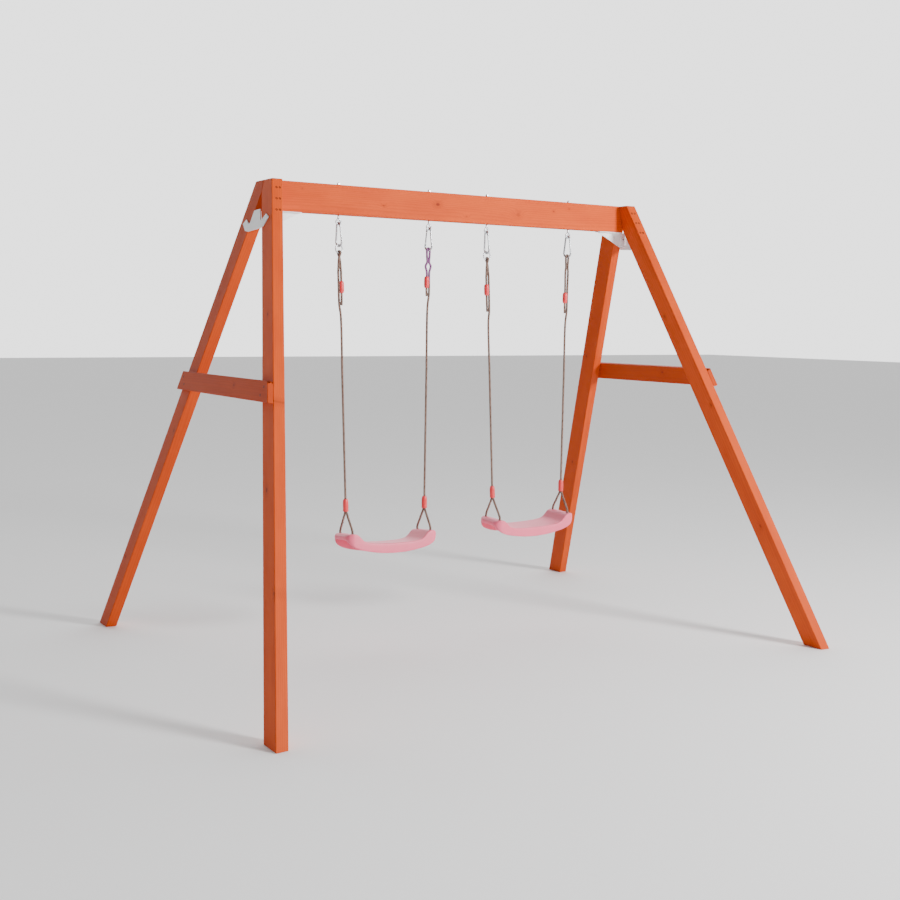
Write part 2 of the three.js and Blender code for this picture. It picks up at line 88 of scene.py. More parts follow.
SWINGS = {
    "left": dict(middle=-0.3655, height=0.512, tilt=math.radians(-1.8), pitch=math.radians(5.9)),
    "right": dict(middle=0.398, height=0.5316, tilt=math.radians(0.9), pitch=math.radians(-1.3)),
}
HANGERS = {
    "left_outer": dict(swing="left", eye=-0.603, end=-1, ring=True, side=1, adjuster=0.2605,
                       tail=0.338, neck=0.180, spread=0.0066, turn=math.radians(11), front=True),
    "left_inner": dict(swing="left", eye=-0.161, end=1, ring=False, side=-1, adjuster=0.2285,
                       tail=0.290, neck=0.142, spread=0.013, turn=math.radians(18), front=False),
    "right_inner": dict(swing="right", eye=0.143, end=-1, ring=True, side=-1, adjuster=0.2545,
                        tail=0.354, neck=0.180, spread=0.0066, turn=0.0, front=True),
    "right_outer": dict(swing="right", eye=0.603, end=1, ring=False, side=-1, adjuster=0.2815,
                        tail=0.354, neck=0.140, spread=0.0075, turn=math.radians(18), front=True),
}

# ------------------------------ camera


CAMERA_PLACE, CAMERA_LENS = (-2.949, -4.6635, 1.4366), 48.86
CAMERA_YAW, CAMERA_PITCH, CAMERA_ROLL = 0.5582, -0.1043, 0.0124


def add_camera():
    """Stands in front of the left end, well above the seats, and looks slightly down."""
    yaw, pitch, roll = CAMERA_YAW, CAMERA_PITCH, CAMERA_ROLL
    ahead = Vector((math.sin(yaw) * math.cos(pitch), math.cos(yaw) * math.cos(pitch), math.sin(pitch)))
    level = Vector((math.cos(yaw), -math.sin(yaw), 0))
    over = level.cross(ahead)
    right = level * math.cos(roll) + over * math.sin(roll)
    up = over * math.cos(roll) - level * math.sin(roll)
    camera = bpy.data.objects.new("camera", bpy.data.cameras.new("camera"))
    camera.data.sensor_width = 36
    camera.data.lens = CAMERA_LENS
    camera.data.clip_end = 100
    turn = Matrix((right, up, -ahead)).transposed().to_4x4()
    camera.matrix_world = Matrix.Translation(CAMERA_PLACE) @ turn
    bpy.context.scene.collection.objects.link(camera)
    bpy.context.scene.camera = camera


add_camera()

# ------------------------------ curves and frames


def smooth_line(points, step):
    """A centripetal Catmull-Rom line through the points, sampled about every `step`."""
    p = np.array(points, float)
    p = np.vstack([2 * p[0] - p[1], p, 2 * p[-1] - p[-2]])
    line = []
    for a, b, c, d in zip(p[:-3], p[1:-2], p[2:-1], p[3:]):
        t0, t1, t2 = (max(np.linalg.norm(v) ** 0.5, 1e-4) for v in (b - a, c - b, d - c))
        m1 = ((b - a) / t0 - (c - a) / (t0 + t1) + (c - b) / t1) * t1
        m2 = ((c - b) / t1 - (d - b) / (t1 + t2) + (d - c) / t2) * t1
        count = max(4, int(np.linalg.norm(c - b) / step * 2))
        t = np.linspace(0, 1, count, endpoint=False)[:, None]
        line.append((2 * t**3 - 3 * t**2 + 1) * b + (t**3 - 2 * t**2 + t) * m1
                    + (3 * t**2 - 2 * t**3) * c + (t**3 - t**2) * m2)
    line = np.vstack([*line, p[-2:-1]])
    along = np.concatenate([[0], np.cumsum(np.linalg.norm(np.diff(line, axis=0), axis=1))])
    even = np.linspace(0, along[-1], max(2, int(round(along[-1] / step)) + 1))
    return np.stack([np.interp(even, along, line[:, i]) for i in range(3)], axis=1)


def arc(z, radius, start, stop, count):
    """Points of an arc in the YZ plane about (0, z), angles in degrees from +Y towards +Z."""
    angles = np.radians(np.linspace(start, stop, count))
    return [(0.0, radius * math.cos(a), z + radius * math.sin(a)) for a in angles]


def between(a, b, t):
    return tuple(x + (y - x) * t for x, y in zip(a, b))


def seat_place(swing):
    s = SWINGS[swing]
    turn = Matrix.Rotation(-s["tilt"], 4, "Y") @ Matrix.Rotation(-s["pitch"], 4, "X")
    return Matrix.Translation((s["middle"], 0, s["height"])) @ turn


def hanger_place(h):
    """The hanger's own frame: its origin is the eye's lower wire, and -Z runs down the rope."""
    eye = Vector((h["eye"], 0, PIVOT))
    end = seat_place(h["swing"]) @ Vector((h["end"] * SEAT_HOLE_HALF, 0, 0))
    length = (eye - end).length
    lean = math.asin((eye.x - end.x) / length)
    return Matrix.Translation(eye) @ Matrix.Rotation(lean, 4, "Y"), length


def clip_place(h):
    place, _ = hanger_place(h)
    return place @ Matrix.Rotation(h["turn"] + (0 if h["front"] else math.pi), 4, "Z")


def leg_point(side, y, s, depth):
    """A point given flat on an A-frame: y, distance up the slope, and depth in from its face."""
    x = -FOOT_HALF + s * math.sin(LEAN) + depth * math.cos(LEAN)
    z = s * math.cos(LEAN) - depth * math.sin(LEAN)
    return Vector((x, y, z)) if side == "left" else Vector((-x, -y, z))


def outer_edge(s):
    return APEX_HALF + (SLOPE - s) * LEG_RUN


# ------------------------------ making pieces


def piece(name, verts, faces, body, slot, material, replaces=(), place=None):
    """A visible piece from vertices and faces, moved to `place` if they are given about it."""
    mesh = bpy.data.meshes.new(name)
    verts = np.array([tuple(v) for v in verts], float)
    if place is not None:
        m = np.array(place)
        verts = verts @ m[:3, :3].T + m[:3, 3]
    mesh.from_pydata(verts.tolist(), [], faces)
    mesh.update()
    return finish_piece(name, mesh, body, material, replaces)


def finish_piece(name, mesh, body, material, replaces=()):
    mesh.polygons.foreach_set("use_smooth", [True] * len(mesh.polygons))
    mesh.materials.clear()
    mesh.materials.append(material)
    made = bpy.data.objects.new(name, mesh)
    bpy.context.scene.collection.objects.link(made)
    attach(made, body)
    if replaces:
        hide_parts(*replaces)
    return made


def frames_along(line, closed=False):
    """Two axes across each point of a line, carried along it without twist."""
    ahead = np.roll(line, -1, axis=0) - np.roll(line, 1, axis=0) if closed else np.gradient(line, axis=0)
    ahead /= np.linalg.norm(ahead, axis=1)[:, None]
    side = np.cross(ahead[0], (0, 1, 0) if abs(ahead[0][1]) < 0.8 else (1, 0, 0))
    sides = []
    for a in ahead:
        side = side - a * (side @ a)
        side /= np.linalg.norm(side)
        sides.append(side)
    sides = np.array(sides)
    return sides, np.cross(ahead, sides)


def ring_faces(rows, sides, closed):
    """Faces over rows of points: back round to the first row, or with both ends capped."""
    faces = []
    for i in range(rows if closed else rows - 1):
        a, b = i * sides, ((i + 1) % rows) * sides
        for j in range(sides):
            k = (j + 1) % sides
            faces.append((a + j, a + k, b + k, b + j))
    if not closed:
        faces.append(tuple(reversed(range(sides))))
        faces.append(tuple(range((rows - 1) * sides, rows * sides)))
    return faces


def tube(line, radii, sides, closed=False):
    """Vertices and faces of a round bar along a line. radii is one number, or rows by columns."""
    line = np.array(line, float)
    u, v = frames_along(line, closed)
    angles = 2 * np.pi * np.arange(sides) / sides
    radii = np.broadcast_to(np.array(radii, float).reshape(-1, 1)
                            if np.ndim(radii) == 1 else radii, (len(line), sides))
    verts = (line[:, None] + radii[:, :, None]
             * (np.cos(angles)[:, None] * u[:, None] + np.sin(angles)[:, None] * v[:, None]))
    return verts.reshape(-1, 3), ring_faces(len(line), sides, closed)


def round_ended(line, radius, ease):
    """Radii that close a bar's ends over the last `ease` of its length."""
    along = np.concatenate([[0], np.cumsum(np.linalg.norm(np.diff(line, axis=0), axis=1))])
    near = np.minimum(along, along[-1] - along)
    t = np.clip(near / ease, 0, 1)
    return radius * np.sqrt(np.clip(1 - (1 - t) ** 2, 0.02, 1))


def lathe(profile, segments, closed=True):
    """Turns (radius, z) points about Z. A closed profile comes back to its first point."""
    angles = 2 * np.pi * np.arange(segments) / segments
    verts = [(r * math.cos(a), r * math.sin(a), z) for r, z in profile for a in angles]
    return verts, ring_faces(len(profile), segments, closed)


def merged(*parts):
    verts, faces = [], []
    for part_verts, part_faces in parts:
        base = len(verts)
        verts.extend([tuple(v) for v in part_verts])
        faces.extend([tuple(base + i for i in f) for f in part_faces])
    return verts, faces


def moved(part, place):
    verts, faces = part
    return [tuple(place @ Vector(v)) for v in verts], faces


def filleted(profile, radius, steps=3):
    """A closed (radius, z) profile with its corners rounded."""
    points = [Vector(p) for p in profile]
    out = []
    for i, p in enumerate(points):
        a, b = points[i - 1] - p, points[(i + 1) % len(points)] - p
        r = min(radius, a.length * 0.45, b.length * 0.45)
        start, stop = p + a.normalized() * r, p + b.normalized() * r
        for t in np.linspace(0, 1, steps + 1):
            out.append(tuple((1 - t) ** 2 * start + 2 * t * (1 - t) * p + t * t * stop))
    return out


def cad_shape(node, bevel, shortest=0.012, segments=3):
    """A node's own shape with its triangles joined into flat faces and its edges eased."""
    bm = bmesh.new()
    bm.from_mesh(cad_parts[node].data)
    bmesh.ops.remove_doubles(bm, verts=bm.verts, dist=1e-5)
    bmesh.ops.dissolve_limit(bm, angle_limit=math.radians(1), verts=bm.verts, edges=bm.edges)
    sharp = [e for e in bm.edges if e.calc_face_angle(0) > math.radians(18)
             and e.calc_length() > shortest]
    bmesh.ops.bevel(bm, geom=sharp, offset=bevel, segments=segments, profile=0.5, affect="EDGES",
                    clamp_overlap=True)
    mesh = bpy.data.meshes.new(node + "_shape")
    bm.to_mesh(mesh)
    bm.free()
    return mesh


def even_normals(made):
    made.modifiers.new("normals", "WEIGHTED_NORMAL").weight = 80


# ------------------------------ materials


class Graph:
    """Short calls for a material's nodes."""

    def __init__(self, name):
        self.material = bpy.data.materials.new(name)
        self.material.use_nodes = True
        tree = self.material.node_tree
        self.nodes, self.links, self.shader = tree.nodes, tree.links, tree.nodes["Principled BSDF"]

    def new(self, kind, **settings):
        node = self.nodes.new("ShaderNode" + kind)
        for key, value in settings.items():
            setattr(node, key, value)
        return node

    def put(self, value, socket):
        if isinstance(value, bpy.types.NodeSocket):
            self.links.new(value, socket)
        else:
            socket.default_value = value

    def math(self, operation, a, b):
        node = self.new("Math", operation=operation)
        self.put(a, node.inputs[0])
        self.put(b, node.inputs[1])
        return node.outputs[0]

    def combined(self, x, y, z=0.0):
        node = self.new("CombineXYZ")
        for value, socket in zip((x, y, z), node.inputs):
            self.put(value, socket)
        return node.outputs[0]

    def scaled(self, parts, factors):
        return self.combined(*(self.math("MULTIPLY", part, by) for part, by in zip(parts, factors)))

    def vector(self, operation, a, b=(0, 0, 0)):
        node = self.new("VectorMath", operation=operation)
        self.put(a, node.inputs[0])
        self.put(b, node.inputs[1])
        return node.outputs["Value" if operation in ("LENGTH", "DISTANCE") else "Vector"]

    def attribute(self, name, output="Vector"):
        return self.new("Attribute", attribute_name=name).outputs[output]

    def noise(self, where, scale, detail=3.0, roughness=0.5):
        node = self.new("TexNoise")
        self.put(where, node.inputs["Vector"])
        node.inputs["Scale"].default_value = scale
        node.inputs["Detail"].default_value = detail
        node.inputs["Roughness"].default_value = roughness
        return node.outputs["Fac"]

    def ramp(self, value, low, high):
        node = self.new("MapRange", interpolation_type="SMOOTHSTEP")
        self.put(value, node.inputs["Value"])
        node.inputs["From Min"].default_value = low
        node.inputs["From Max"].default_value = high
        return node.outputs["Result"]

    def mix(self, share, a, b):
        node = self.new("Mix", data_type="RGBA")
        self.put(share, node.inputs["Factor"])
        self.put(a, node.inputs["A"])
        self.put(b, node.inputs["B"])
        return node.outputs["Result"]

    def bump(self, height, distance, strength):
        node = self.new("Bump")
        node.inputs["Strength"].default_value = strength
        node.inputs["Distance"].default_value = distance
        self.put(height, node.inputs["Height"])
        return node.outputs["Normal"]

    def place(self):
        return self.new("TexCoord").outputs["Object"]


def srgb(r, g, b):
    """A colour from its screen values, 0 to 255."""
    screen = (r / 255, g / 255, b / 255)
    return (*(v / 12.92 if v <= 0.04045 else ((v + 0.055) / 1.055) ** 2.4 for v in screen), 1.0)


WOOD_LIGHT = (0.74, 0.094, 0.008, 1)
WOOD_MID = (0.66, 0.076, 0.006, 1)
WOOD_DEEP = (0.32, 0.028, 0.003, 1)
WOOD_KNOT = (0.20, 0.018, 0.003, 1)
WOOD_RING = 0.0065                       # one year's growth
WOOD_WANDER = 0.050                      # how far the tree's core strays along a board
WOOD_CORE = (0.012, 0.052)               # where the core lies, across the board and through it
KNOT_STRETCH = 1.5                       # knots are longer along the grain
EULER = 2.718


def wood_material(name, knots, shift, tone):
    """Stained softwood. Its `grain` attribute runs along, across and through the board. Each knot
    is (along, across, radius, depth of colour), `shift` picks another stretch of grain, and
    `tone` darkens the whole board towards deep brown as painted shade."""
    g = Graph(name)
    split = g.new("SeparateXYZ")
    g.put(g.attribute("grain"), split.inputs[0])
    place, across, through = split.outputs
    along = g.math("ADD", place, shift)
    parts = (along, across, through)

    wander = g.noise(g.scaled(parts, (1.1, 5.0, 5.0)), 1.0, 2.0)
    wander = g.math("MULTIPLY", g.math("SUBTRACT", wander, 0.5), WOOD_WANDER)
    core = g.combined(g.math("ADD", across, g.math("ADD", wander, WOOD_CORE[0])),
                      g.math("ADD", through, WOOD_CORE[1]))
    radius = g.vector("LENGTH", core)

    dark_knot, halo = 0.0, 0.0
    flat = g.combined(g.math("DIVIDE", place, KNOT_STRETCH), across)
    for where, side, size, depth in knots:
        away = g.vector("DISTANCE", flat, (where / KNOT_STRETCH, side, 0))
        spread = g.math("POWER", g.math("DIVIDE", away, size * 1.9), 2.0)
        swell = g.math("POWER", EULER, g.math("MULTIPLY", spread, -1.0))
        radius = g.math("ADD", radius, g.math("MULTIPLY", swell, size * 1.6))
        heart = g.math("SUBTRACT", 1.0, g.ramp(away, size * 0.35, size * 0.85))
        ring = g.math("SUBTRACT", 1.0, g.ramp(away, size * 0.9, size * 2.6))
        dark_knot = g.math("MAXIMUM", dark_knot, g.math("MULTIPLY", heart, depth))
        halo = g.math("MAXIMUM", halo, g.math("MULTIPLY", ring, depth * 0.35))

    rings = g.math("FRACT", g.math("DIVIDE", radius, WOOD_RING), 0.0)
    past = g.math("SUBTRACT", 1.0, g.ramp(rings, 0.95, 1.0))
    late = g.math("MULTIPLY", g.ramp(rings, 0.25, 0.95), past)
    fibre = g.noise(g.scaled(parts, (9.0, 900.0, 900.0)), 1.0, 2.0)
    cloud = g.noise(g.scaled(parts, (4.0, 14.0, 14.0)), 1.0, 3.0)

    colour = g.mix(g.ramp(cloud, 0.3, 0.7), WOOD_LIGHT, WOOD_MID)
    colour = g.mix(g.math("MULTIPLY", late, 0.20), colour, WOOD_DEEP)
    colour = g.mix(g.math("MULTIPLY", g.ramp(fibre, 0.45, 0.8), 0.16), colour, WOOD_DEEP)
    colour = g.mix(halo, colour, WOOD_DEEP)
    # Painted shade: `tone` darkens the whole board towards deep brown, most on the rear legs and braces.
    if tone:
        colour = g.mix(tone, colour, WOOD_DEEP)
    colour = g.mix(dark_knot, colour, WOOD_KNOT)
    g.put(colour, g.shader.inputs["Base Color"])
    rough = g.math("ADD", 0.50, g.math("MULTIPLY", fibre, 0.16))
    g.put(rough, g.shader.inputs["Roughness"])
    g.shader.inputs["Specular IOR Level"].default_value = 0.13
    height = g.math("ADD", g.math("MULTIPLY", fibre, 0.6), g.math("MULTIPLY", late, -0.4))
    g.put(g.bump(height, 0.0006, 0.55), g.shader.inputs["Normal"])
    return g.material


def metal_material(name, colour, rough, scratch, bump):
    """Plated steel with fine handling marks and a little unevenness in the plate."""
    g = Graph(name)
    where = g.place()
    cloud = g.noise(where, 90.0, 4.0, 0.6)
    fine = g.noise(where, 1400.0, 2.0)
    g.put(g.mix(g.math("MULTIPLY", g.ramp(cloud, 0.35, 0.75), 0.35), colour,
                tuple(c * 0.62 for c in colour[:3]) + (1.0,)), g.shader.inputs["Base Color"])
    g.shader.inputs["Metallic"].default_value = 1.0
    g.put(g.math("ADD", rough, g.math("MULTIPLY", g.math("SUBTRACT", cloud, 0.5), scratch * 2)),
          g.shader.inputs["Roughness"])
    g.put(g.bump(fine, bump, 0.5), g.shader.inputs["Normal"])
    return g.material


def coat_material(name, colour, rough):
    """Powder coat on steel, with a faint orange peel and slightly duller patches."""
    g = Graph(name)
    where = g.place()
    peel = g.noise(where, 900.0, 2.0)
    cloud = g.noise(where, 30.0, 4.0, 0.6)
    dull = tuple(c * 0.80 for c in colour[:3]) + (1.0,)
    g.put(g.mix(g.math("MULTIPLY", g.ramp(cloud, 0.45, 0.8), 0.4), colour, dull),
          g.shader.inputs["Base Color"])
    g.put(g.math("ADD", rough, g.math("MULTIPLY", cloud, 0.12)), g.shader.inputs["Roughness"])
    g.put(g.bump(peel, 0.00012, 0.5), g.shader.inputs["Normal"])
    return g.material


def plastic_material(name, colour, shade, rough, grain, bump, scatter=0.0):
    """Moulded plastic with a fine cast grain, faint flow marks and scuffs."""
    g = Graph(name)
    where = g.place()
    skin = g.noise(where, grain, 2.0)
    flow = g.noise(where, 14.0, 3.0, 0.55)
    scuff = g.noise(where, 160.0, 5.0, 0.7)
    tone = g.mix(g.math("MULTIPLY", g.ramp(flow, 0.35, 0.75), 0.5), colour, shade)
    g.put(tone, g.shader.inputs["Base Color"])
    g.put(g.math("ADD", rough, g.math("MULTIPLY", g.ramp(scuff, 0.45, 0.75), 0.14)),
          g.shader.inputs["Roughness"])
    g.shader.inputs["Specular IOR Level"].default_value = 0.5
    g.shader.inputs["Subsurface Weight"].default_value = scatter
    g.shader.inputs["Subsurface Radius"].default_value = (0.004, 0.002, 0.002)
    g.put(g.bump(skin, bump, 0.6), g.shader.inputs["Normal"])
    return g.material


def rope_material(name):
    """Braided yarn. The `yarn_with_painted_shade` attribute is the colour of each strand, with painted
    shade where it dips under the strands beside it, and `lay` runs across and along it.
    """
    g = Graph(name)
    yarn_with_painted_shade = g.attribute("yarn_with_painted_shade", "Color")
    lay = g.attribute("lay")
    stretch = g.new("Mapping")
    g.put(lay, stretch.inputs["Vector"])
    stretch.inputs["Scale"].default_value = (26.0, 3.0, 1.0)
    thread = g.noise(stretch.outputs[0], 1.0, 2.0)
    fuzz = g.noise(g.place(), 1500.0, 3.0, 0.6)
    tone = g.mix(g.math("MULTIPLY", g.ramp(thread, 0.3, 0.75), 0.30), yarn_with_painted_shade, srgb(52, 40, 38))
    g.put(tone, g.shader.inputs["Base Color"])
    g.shader.inputs["Roughness"].default_value = 0.78
    g.shader.inputs["Sheen Weight"].default_value = 0.25
    g.shader.inputs["Sheen Roughness"].default_value = 0.5
    g.shader.inputs["Specular IOR Level"].default_value = 0.3
    height = g.math("ADD", g.math("MULTIPLY", thread, 0.7), g.math("MULTIPLY", fuzz, 0.5))
    g.put(g.bump(height, 0.00035, 0.7), g.shader.inputs["Normal"])
    return g.material


ZINC = metal_material("zinc", srgb(205, 208, 212), 0.34, 0.06, 0.00002)
SCREW = metal_material("screw_head", srgb(84, 48, 36), 0.5, 0.12, 0.00006)
WHITE = coat_material("bracket_white", srgb(249, 250, 252), 0.38)
RED = plastic_material("red_plastic", (0.86, 0.052, 0.062, 1), (0.74, 0.036, 0.048, 1), 0.34,
                       900.0, 0.00008, 0.05)
PINK = plastic_material("pink_plastic", (0.98, 0.165, 0.275, 1), (0.94, 0.145, 0.250, 1), 0.42,
                        1100.0, 0.00012, 0.05)
ROPE = rope_material("rope")
THREAD = plastic_material("whipping_thread", srgb(96, 78, 70), srgb(70, 54, 50), 0.7,
                          1500.0, 0.0002)

# ------------------------------ ropes

TAN, BROWN, FLECK = (0.40, 0.25, 0.19), (0.17, 0.095, 0.075), (0.030, 0.018, 0.016)
MAUVE, MAUVE_DEEP, MAUVE_FLECK = (0.42, 0.16, 0.38), (0.30, 0.10, 0.30), (0.10, 0.035, 0.10)
ROPE_YARNS = ((TAN, TAN, BROWN, TAN, FLECK, TAN, TAN, BROWN),
              (TAN, BROWN, TAN, FLECK, TAN, TAN, BROWN, FLECK))
MAUVE_YARNS = ((MAUVE, MAUVE, MAUVE_DEEP, MAUVE, MAUVE_FLECK, MAUVE, MAUVE, MAUVE_DEEP),
               (MAUVE, MAUVE_DEEP, MAUVE, MAUVE, MAUVE, MAUVE_FLECK, MAUVE_DEEP, MAUVE))
YARNS_EACH_WAY = 8
YARN_PITCH = 620.0                       # how fast the yarns wind round the rope, radians per metre
BRAID_SIDES = 32
ROPE_STEP = 0.0012                       # between the points of a rope's line


def braid_colour(which, first_on_top, yarns):
    first, second = (np.array(kinds)[w % YARNS_EACH_WAY] for kinds, w in zip(yarns, which))
    return np.where(first_on_top[..., None], first, second)


def braided(name, line, body, replaces=(), closed=False, dyed=None):
    """A rope of yarns, wound both ways, that pass over and under each other. `dyed` says how far
    each point of the line is mauve."""
    steps = np.linalg.norm(np.diff(line, axis=0), axis=1)
    along = np.concatenate([[0], np.cumsum(steps)])[:, None]
    around = (2 * np.pi * np.arange(BRAID_SIDES) / BRAID_SIDES)[None, :]
    half = YARNS_EACH_WAY / 2
    turns = [(half * around + way * YARN_PITCH * along) / np.pi for way in (1, -1)]
    which = [np.floor(t).astype(int) for t in turns]
    crown = [np.sin(np.pi * (t - w)) for t, w in zip(turns, which)]
    first_on_top = (which[0] + which[1]) % 2 == 0
    top = np.where(first_on_top, crown[0], crown[1])
    under = np.where(first_on_top, crown[1], crown[0])
    radii = ROPE_RADIUS * (0.90 + 0.10 * np.sqrt(top) * (0.55 + 0.45 * under))
    if not closed:
        radii *= round_ended(line, 1.0, 0.0025)[:, None]
    colour = braid_colour(which, first_on_top, ROPE_YARNS)
    if dyed is not None:
        share = dyed[:, None, None]
        colour = colour * (1 - share) + braid_colour(which, first_on_top, MAUVE_YARNS) * share
    # Painted shade: each strand is darkened towards its edges, in the creases where it dips under the
    # strands beside it.
    colour = colour * (0.55 + 0.45 * top[..., None])
    slot = "rope" if dyed is None else "rope_mauve"
    made = piece(name, *tube(line, radii, BRAID_SIDES, closed), body, slot, ROPE, replaces)
    rgba = np.ones((*colour.shape[:2], 4))
    rgba[..., :3] = colour
    yarn_with_painted_shade = made.data.color_attributes.new("yarn_with_painted_shade", "FLOAT_COLOR", "POINT")
    yarn_with_painted_shade.data.foreach_set("color", rgba.ravel())
    lay = np.zeros(colour.shape)
    lay[..., 0], lay[..., 1] = np.cos(around) * ROPE_RADIUS, np.sin(around) * ROPE_RADIUS
    lay[..., 2] = along
    stored = made.data.attributes.new("lay", "FLOAT_VECTOR", "POINT")
    stored.data.foreach_set("vector", lay.ravel())
    return made


CLIP_TOP = EYE_WIRE + CLIP_WIRE + GAP
CLIP_LOW = CLIP_TOP - CLIP_TALL
TOP_CENTRE, LOW_CENTRE = CLIP_TOP - CLIP_TOP_BEND, CLIP_LOW + CLIP_LOW_BEND
FLANK = math.degrees(math.asin((CLIP_LOW_BEND - CLIP_TOP_BEND) / (TOP_CENTRE - LOW_CENTRE)))
SUPPORT = CLIP_LOW + CLIP_WIRE + RING_WIRE + GAP - 2 * RING_RADIUS


def rope_route(h, length):
    """Up from the tail, through the adjuster, over the ring or carabiner and down to the collar."""
    support = SUPPORT if h["ring"] else CLIP_LOW
    bend = (RING_WIRE if h["ring"] else CLIP_WIRE) + ROPE_RADIUS + 2 * GAP
    away = h["turn"] + math.pi / 2 if h["ring"] else h["turn"]
    reach = ADJUSTER_TALL / 2 + ADJUSTER_TRAVEL

    def across(offset, angle, z):
        return (h["side"] * offset * math.cos(angle), h["side"] * offset * math.sin(angle), z)

    def strand(sign):
        return [across(sign * ROPE_PAIR, 0, -h["tail"]),
                across(sign * ROPE_GRIP, 0, -h["adjuster"] - reach),
                across(sign * ROPE_GRIP, 0, -h["adjuster"]),
                across(sign * ROPE_GRIP, 0, -h["adjuster"] + reach),
                across(sign * h["spread"], 0, -h["neck"] - ROPE_SPREAD_OVER),
                across(sign * ROPE_PAIR, 0, -h["neck"]),
                across(sign * (ROPE_PAIR + bend) / 2, away / 2, support - ROPE_CROWN)]

    collar_top = -length + BRIDLE_DROP + COLLAR_TALL
    start, stop = (0, 0, -h["tail"] - ROPE_MERGE), (0, 0, collar_top - ROPE_IN_COLLAR)
    over = [across(offset, away, z) for _, offset, z in arc(support, bend, 0, 180, 7)]
    down = [between(start, stop, t) for t in (0.02, 0.35, 0.7, 1)]
    return strand(1) + over + strand(-1)[::-1] + down


def bridle_route(h, sign, place, length):
    """From inside the collar down through a hole in the seat."""
    to_hanger = place.inverted() @ seat_place(h["swing"])

    def at_seat(z):
        return tuple(to_hanger @ Vector((h["end"] * SEAT_HOLE_HALF, sign * BRIDLE_HALF, z)))

    apart = sign * (ROPE_RADIUS + 2 * GAP)
    collar_foot = -length + BRIDLE_DROP
    mouth, above = (0, apart, collar_foot - BRIDLE_MOUTH), at_seat(BRIDLE_ABOVE)
    return [(0, apart - sign * GAP, collar_foot + BRIDLE_IN_COLLAR),
            (0, apart - sign * GAP, collar_foot + BRIDLE_STRAIGHT),
            mouth, between(mouth, above, 0.5), above, at_seat(0), at_seat(-BRIDLE_BELOW)]


def placed(points, place):
    m = np.array(place)
    return np.array(points, float) @ m[:3, :3].T + m[:3, 3]


def whipping(name, h, place):
    """Thread bound round the rope and its tail where the tail ends."""
    turns, steps, thread, above_end = 13, 16, 0.0009, 0.003
    wide, deep = ROPE_PAIR + 0.0052, 0.0056
    turn = np.arange(turns * steps + 1) / steps
    line = np.stack([wide * np.cos(2 * np.pi * turn), deep * np.sin(2 * np.pi * turn),
                     -h["tail"] + above_end + turn * thread], axis=1)
    verts, faces = tube(line, round_ended(line, 0.0005, 0.001), 8)
    return piece(name, verts, faces, "swing_" + h["swing"], "rope", THREAD, place=place)


def stopper_knot(name, h, sign):
    """An overhand knot under the seat, drawn tight."""
    wide, tall, under_seat = 0.0030, 0.0042, 0.0135
    t = np.linspace(0, 2 * np.pi, 120, endpoint=False)
    line = np.stack([wide * (np.sin(t) + 2 * np.sin(2 * t)), wide * (np.cos(t) - 2 * np.cos(2 * t)),
                     -tall * np.sin(3 * t)], axis=1)
    where = Matrix.Translation((h["end"] * SEAT_HOLE_HALF, sign * BRIDLE_HALF, -under_seat))
    line = placed(line, seat_place(h["swing"]) @ where)
    return braided(name, line, "swing_" + h["swing"], closed=True)


def add_ropes():
    for name, h in HANGERS.items():
        place, length = hanger_place(h)
        swing = "swing_" + h["swing"]
        line = smooth_line(rope_route(h, length), ROPE_STEP)[::-1]
        above = np.clip((line[:, 2] + h["adjuster"] + 0.01) / 0.02, 0, 1)
        dyed = above if name == "left_inner" else None
        line = placed(line, place)
        rope = braided("rope_" + name + "_braid", line, swing, ["rope_" + name], dyed=dyed)
        bound = whipping("whipping_" + name, h, place)
        for where, sign in (("front", -1), ("rear", 1)):
            line = placed(smooth_line(bridle_route(h, sign, place, length), ROPE_STEP), place)
            node = f"bridle_{name}_{where}"
            strand = braided(node + "_braid", line, swing, [node])
            knot = stopper_knot(f"knot_{name}_{where}", h, sign)


add_ropes()

# ------------------------------ timber


def board(node, foot, head, side, knots, shift, tone):
    """A timber part with eased edges. `foot` to `head` is the way its grain runs, `side` is
    roughly across it, and `shift` sets which stretch of grain it shows."""
    mesh = cad_shape(node, 0.003, shortest=0.02)
    along = (head - foot).normalized()
    across = (side - along * side.dot(along)).normalized()
    through = along.cross(across)
    co = np.zeros(len(mesh.vertices) * 3)
    mesh.vertices.foreach_get("co", co)
    local = (co.reshape(-1, 3) - np.array(foot)) @ np.array([along, across, through]).T
    grain = mesh.attributes.new("grain", "FLOAT_VECTOR", "POINT")
    grain.data.foreach_set("vector", local.ravel())
    material = wood_material("timber_" + node, knots, shift, tone)
    even_normals(finish_piece(node + "_board", mesh, "frame", material, [node]))


BEAM_KNOTS = [(0.60, 0.049, 0.006, 0.5), (0.87, 0.070, 0.010, 0.8), (1.02, 0.026, 0.006, 0.3),
              (1.30, 0.049, 0.012, 0.35), (1.50, 0.076, 0.005, 0.6), (1.59, 0.092, 0.004, 0.4),
              (0.22, 0.095, 0.004, 0.3)]
LEG_KNOTS = {
    "left_front": [(0.55, 0.006, 0.008, 0.5), (1.28, 0.004, 0.007, 0.6), (0.95, 0.060, 0.010, 0.7),
                   (1.66, 0.045, 0.007, 0.6)],
    "left_rear": [(0.40, 0.030, 0.009, 0.7), (1.10, 0.070, 0.008, 0.7), (1.75, 0.040, 0.007, 0.5)],
    "right_front": [(0.62, 0.040, 0.009, 0.6), (1.22, 0.018, 0.007, 0.6), (1.70, 0.065, 0.008, 0.5)],
    "right_rear": [(0.80, 0.052, 0.009, 0.6), (1.45, 0.030, 0.007, 0.6)],
}
